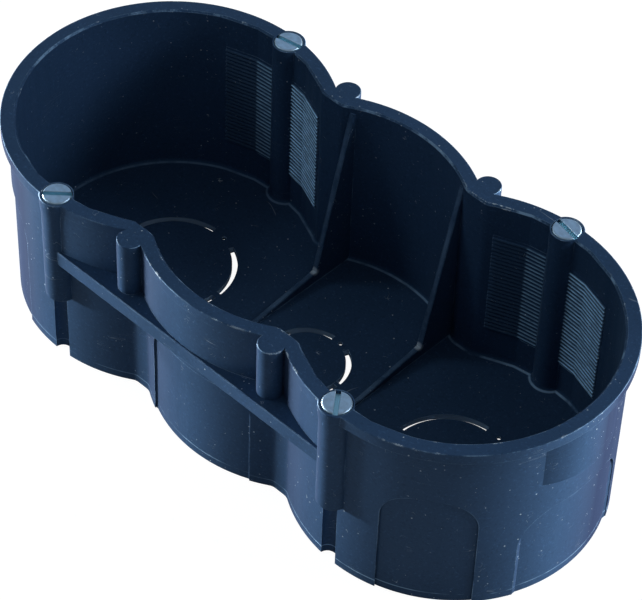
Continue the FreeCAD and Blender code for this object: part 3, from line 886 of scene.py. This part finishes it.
def navy_plastic(sizes, finish):
    """Dark navy moulded plastic: grain, flow streaks, edge wear, burrs, dust and scratches, with painted
    shade, sheen and highlights.
    """
    material, tree, shader = new_material("navy_moulding")
    place = add_node(tree, "ShaderNodeTexCoord").outputs["Object"]
    axes = add_axes(tree, place)
    across = add_math(tree, "ABSOLUTE", axes["X"])
    along = add_math(tree, "ABSOLUTE", axes["Y"])
    up = axes["Z"]
    facing = add_axes(tree, add_node(tree, "ShaderNodeNewGeometry").outputs["Normal"])

    dark = [channel * 0.45 for channel in finish.plastic_color]
    pale = [channel * 2.2 for channel in finish.plastic_tint]
    clouds = add_patches(tree, place, 28.0, 0.35, 0.65, stretch=(1, 1, 0.6), detail=3.0)
    mottle = add_patches(tree, place, 1500.0, 0.30, 0.44, 0.30, 0.0)
    grains = add_patches(tree, place, 1900.0, 0.58, 0.72, 0.0, 0.3, turn=(0.3, 0.2, 0.1))

    # Painted shade and sheen: the outside at both ends turns darker and violet, and rougher, where it turns
    # away from the view
    turned_away = add_node(tree, "ShaderNodeLayerWeight", {"Blend": 0.5}).outputs["Facing"]
    ends = add_range(tree, across, 0.040, 0.045, 0.65, 1.0)
    away = add_product(tree, add_range(tree, turned_away, 0.56, 0.76), ends,
                       outside_faces(tree, across, along, sizes))

    ribs = use_group(tree, rib_tip_group(sizes), place)
    # Painted shade darkens the rib tips on the strips well to the -x side of each boss; painted highlight
    # brightens the others, most on the +x side of the boss, in patches
    shaded = add_product(tree, ribs["Mask"], add_range(tree, ribs["Side"], -0.0065, -0.0069, 0.0, 0.72))
    strips = add_math(tree, "ADD", add_range(tree, ribs["Side"], -0.0069, -0.0065, 0.0, 0.45),
                      add_range(tree, ribs["Side"], -0.001, 0.001, 0.0, 0.55))
    uneven = add_patches(tree, place, 420.0, 0.38, 0.60, 0.60, 1.0, stretch=(1, 1, 2), detail=4.0)
    tips = add_product(tree, ribs["Mask"], uneven, strips)

    # Pale edge mask: partly edge wear, partly painted edge highlight
    wear = use_group(tree, edge_wear_and_highlight_group(), place, {"Width": finish.edge_width, "Breaks": 210.0})["Mask"]
    dust = use_group(tree, dust_group(), place, {"Density": 900.0, "Size": 0.15})["Mask"]
    dust = add_product(tree, dust, 0.6)
    long_bend = add_noise(tree, place, 60.0, stretch=(1, 1, 14), turn=(0.5, 0.3, 0.2), detail=1.0)
    scratches = thin_marks(tree, place, long_bend, (0.498, 0.502, 0.502, 0.506),
                           (130.0, 0.65, 0.71, 0.0, 0.35))
    short_bend = add_noise(tree, place, 650.0, detail=1.0)
    hairs = thin_marks(tree, place, short_bend, (0.494, 0.499, 0.502, 0.507),
                       (420.0, 0.68, 0.72, 0.0, 0.5))
    rubbed_and_highlit = add_product(tree, wear, add_math(tree, "SUBTRACT", 1.0, ribs["Zone"]), 0.5)
    corner = base_corner_highlight(tree, place, axes, sizes)
    burrs = rim_burrs(tree, place, up, sizes)
    mouth = mouth_edge_highlight(tree, place, up, facing["Z"], sizes)
    lit_slot_sides = base_slot_sides(tree, across, along, up, sizes)
    crest = web_crest_highlight(tree, place, across, along, up, facing["X"])
    knee = web_knee_highlight(tree, across, along, up)
    # Masks and colours of the coats over the base colour, from the lowest to the topmost, among them painted
    # shade, painted highlights and painted light
    coats = ((mottle, dark), (grains, pale), (away, finish.violet_painted_shade_color), (rubbed_and_highlit, finish.edge_wear_and_highlight_color),
             (shaded, dark), (tips, finish.rib_highlight_color), (corner, finish.edge_wear_and_highlight_color),
             (burrs, finish.burr_dust_and_highlight_color), (mouth, finish.edge_wear_and_highlight_color), (scratches, finish.burr_dust_and_highlight_color),
             (hairs, finish.burr_dust_and_highlight_color), (dust, finish.burr_dust_and_highlight_color), (lit_slot_sides, BASE_SLOT_LIGHT_COLOR),
             (crest, finish.edge_wear_and_highlight_color), (knee, finish.burr_dust_and_highlight_color))
    color = add_mix(tree, clouds, finish.plastic_color[:], finish.plastic_tint[:])
    for mask, coat in coats:
        color = add_mix(tree, mask, color, coat[:])
    tree.links.new(color, shader.inputs["Base Color"])

    grain = add_noise(tree, place, 2600.0, detail=3.0)
    streaks = add_noise(tree, place, 240.0, stretch=(1, 1, 0.05), detail=3.0)
    plain = finish.plastic_roughness
    rough = add_range(tree, streaks, 0.3, 0.7, plain - 0.06, plain + 0.08)
    for mask, change in ((wear, -0.08), (tips, -0.12), (away, 0.45)):
        rough = add_math(tree, "ADD", rough, add_product(tree, mask, change))
    tree.links.new(rough, shader.inputs["Roughness"])
    height = add_math(tree, "ADD", add_product(tree, grain, 0.6), add_product(tree, streaks, 1.4))
    add_bump(tree, shader, height, 0.28, 0.00006)
    shader.inputs["Specular IOR Level"].default_value = 0.35
    shader.inputs["Specular Tint"].default_value = PLASTIC_GLOSS_TINT
    return material


def zinc_plate(sizes, finish):
    """Bright zinc plate with a cool tint, fine scuffs, a cyan tint in the slot and lower down, and pale
    edges.
    """
    material, tree, shader = new_material("zinc_plate")
    place = add_node(tree, "ShaderNodeTexCoord").outputs["Object"]
    clouds = add_patches(tree, place, 900.0, 0.35, 0.65, detail=3.0)
    pale = [min(1.0, channel * 1.25) for channel in finish.zinc_color]
    color = add_mix(tree, clouds, finish.zinc_color[:], pale)
    in_slot = add_range(tree, add_axes(tree, place)["Z"], sizes.depth + 0.0001, sizes.depth - 0.0001)
    color = add_mix(tree, add_product(tree, in_slot, 0.85), color, SCREW_SLOT_COLOR)
    wear = use_group(tree, edge_wear_and_highlight_group(), place, {"Width": 0.00012, "Breaks": 400.0})["Mask"]
    color = add_mix(tree, add_product(tree, wear, 0.8), color, ZINC_EDGE_COLOR)
    tree.links.new(color, shader.inputs["Base Color"])
    scuffs = add_noise(tree, place, 500.0, stretch=(1, 12, 1), turn=(0, 0, 0.6), detail=3.0)
    tree.links.new(add_range(tree, scuffs, 0.3, 0.7, 0.34, 0.52), shader.inputs["Roughness"])
    add_bump(tree, shader, scuffs, 0.25, 0.00003)
    shader.inputs["Metallic"].default_value = 0.8
    return material


def camera_turn(settings):
    """Camera position and rotation from its angles."""
    azimuth = settings.camera_azimuth
    elevation = settings.camera_elevation
    back = Vector((math.cos(elevation) * math.sin(azimuth), -math.cos(elevation) * math.cos(azimuth),
                   math.sin(elevation)))
    place = Vector(settings.camera_aim) + back * settings.camera_distance
    turn = (-back).to_track_quat("-Z", "Y") @ Quaternion((0, 0, 1), settings.camera_roll)
    return place, turn


def empty_tree(owner):
    """Emptied node tree of a material or a world."""
    owner.use_nodes = True
    owner.node_tree.nodes.clear()
    return owner.node_tree


def link_surface(tree, output, factor, first, second):
    """Two shaders, mixed by a factor, as the surface of a material or a world."""
    mix = add_node(tree, "ShaderNodeMixShader")
    for value, socket in zip((factor, first, second), mix.inputs):
        tree.links.new(value, socket)
    tree.links.new(mix.outputs[0], add_node(tree, output).inputs["Surface"])


def floor_material(settings):
    """Pale floor that is seen as the white background, with the soft shadow kept."""
    material = bpy.data.materials.new("pale_floor")
    tree = empty_tree(material)
    ray = add_node(tree, "ShaderNodeLightPath").outputs
    seen = add_math(tree, "MAXIMUM", ray["Is Camera Ray"], ray["Is Transmission Ray"])
    dim = [channel * settings.floor_bounce for channel in settings.floor_color]
    diffuse = add_node(tree, "ShaderNodeBsdfDiffuse")
    tree.links.new(add_mix(tree, seen, dim, settings.floor_color[:]), diffuse.inputs["Color"])
    glow = add_node(tree, "ShaderNodeEmission", {"Strength": FLOOR_GLOW})
    link_surface(tree, "ShaderNodeOutputMaterial", add_product(tree, seen, settings.background_share),
                 diffuse.outputs[0], glow.outputs[0])
    return material


def world_light():
    """Even pale light, seen as the white background."""
    world = bpy.data.worlds.new("studio_world")
    tree = empty_tree(world)
    ray = add_node(tree, "ShaderNodeLightPath").outputs
    soft = add_node(tree, "ShaderNodeBackground", WORLD_LIGHT)
    white = add_node(tree, "ShaderNodeBackground", WHITE_BACKGROUND)
    link_surface(tree, "ShaderNodeOutputWorld", ray["Is Camera Ray"], soft.outputs[0], white.outputs[0])
    return world


def add_lamp(name, turn, rise, distance, size, power, color):
    """Soft lamp at a turn and height angle in degrees, facing the box."""
    turn = math.radians(turn)
    rise = math.radians(rise)
    place = (distance * math.cos(rise) * math.cos(turn), distance * math.cos(rise) * math.sin(turn),
             LAMP_AIM_HEIGHT + distance * math.sin(rise))
    bpy.ops.object.light_add(type="AREA", location=place)
    lamp = bpy.context.object
    lamp.name = name
    lamp.data.shape = "RECTANGLE"
    lamp.data.size = size[0]
    lamp.data.size_y = size[1]
    lamp.data.energy = power
    lamp.data.color = color
    aim = Vector((0, 0, LAMP_AIM_HEIGHT)) - Vector(place)
    lamp.rotation_euler = aim.to_track_quat("-Z", "Y").to_euler()


class BACKBOX_OT_stage(bpy.types.Operator):
    """Add the floor, the lamps, the world light and the camera"""
    bl_idname = "back_box.stage"
    bl_label = "Stage"

    def execute(self, context):
        settings = context.scene.back_box_stage
        bpy.ops.object.select_all(action="DESELECT")
        bpy.ops.mesh.primitive_plane_add(size=FLOOR_SIZE, location=(0, 0, FLOOR_HEIGHT))
        floor = context.object
        floor.name = "studio_floor"
        floor.data.materials.append(floor_material(settings))
        for name, lamp in LAMPS.items():
            add_lamp(name, *lamp)
        context.scene.world = world_light()
        bpy.ops.object.camera_add()
        camera = context.object
        camera.name = "photo_camera"
        camera.data.sensor_width = SENSOR_WIDTH
        camera.data.lens = settings.camera_lens
        camera.data.clip_start = NEAR_CLIP
        place, turn = camera_turn(settings)
        camera.location = place
        camera.rotation_euler = turn.to_euler()
        context.scene.camera = camera
        context.scene.view_settings.view_transform = "Standard"
        return {"FINISHED"}


class BACKBOX_PT_panel(bpy.types.Panel):
    """Buttons for each group of pieces and the stage"""
    bl_idname = "BACKBOX_PT_panel"
    bl_label = "Flush Back Box"
    bl_space_type = "VIEW_3D"
    bl_region_type = "UI"
    bl_category = "Back Box"

    def draw(self, context):
        for operator in OPERATORS:
            self.layout.operator(operator.bl_idname)


OPERATORS = (BACKBOX_OT_moulding, BACKBOX_OT_screws, BACKBOX_OT_stage)
CLASSES = (BackBoxSizes, BackBoxFinish, BackBoxStage) + OPERATORS + (BACKBOX_PT_panel,)


def register():
    for one in CLASSES:
        bpy.utils.register_class(one)
    bpy.types.Scene.back_box_sizes = bpy.props.PointerProperty(type=BackBoxSizes)
    bpy.types.Scene.back_box_finish = bpy.props.PointerProperty(type=BackBoxFinish)
    bpy.types.Scene.back_box_stage = bpy.props.PointerProperty(type=BackBoxStage)


def unregister():
    del bpy.types.Scene.back_box_stage
    del bpy.types.Scene.back_box_finish
    del bpy.types.Scene.back_box_sizes
    for one in reversed(CLASSES):
        bpy.utils.unregister_class(one)


def main():
    register()
    bpy.ops.back_box.moulding()
    bpy.ops.back_box.screws()
    bpy.ops.back_box.stage()


if __name__ == "__main__":
    main()
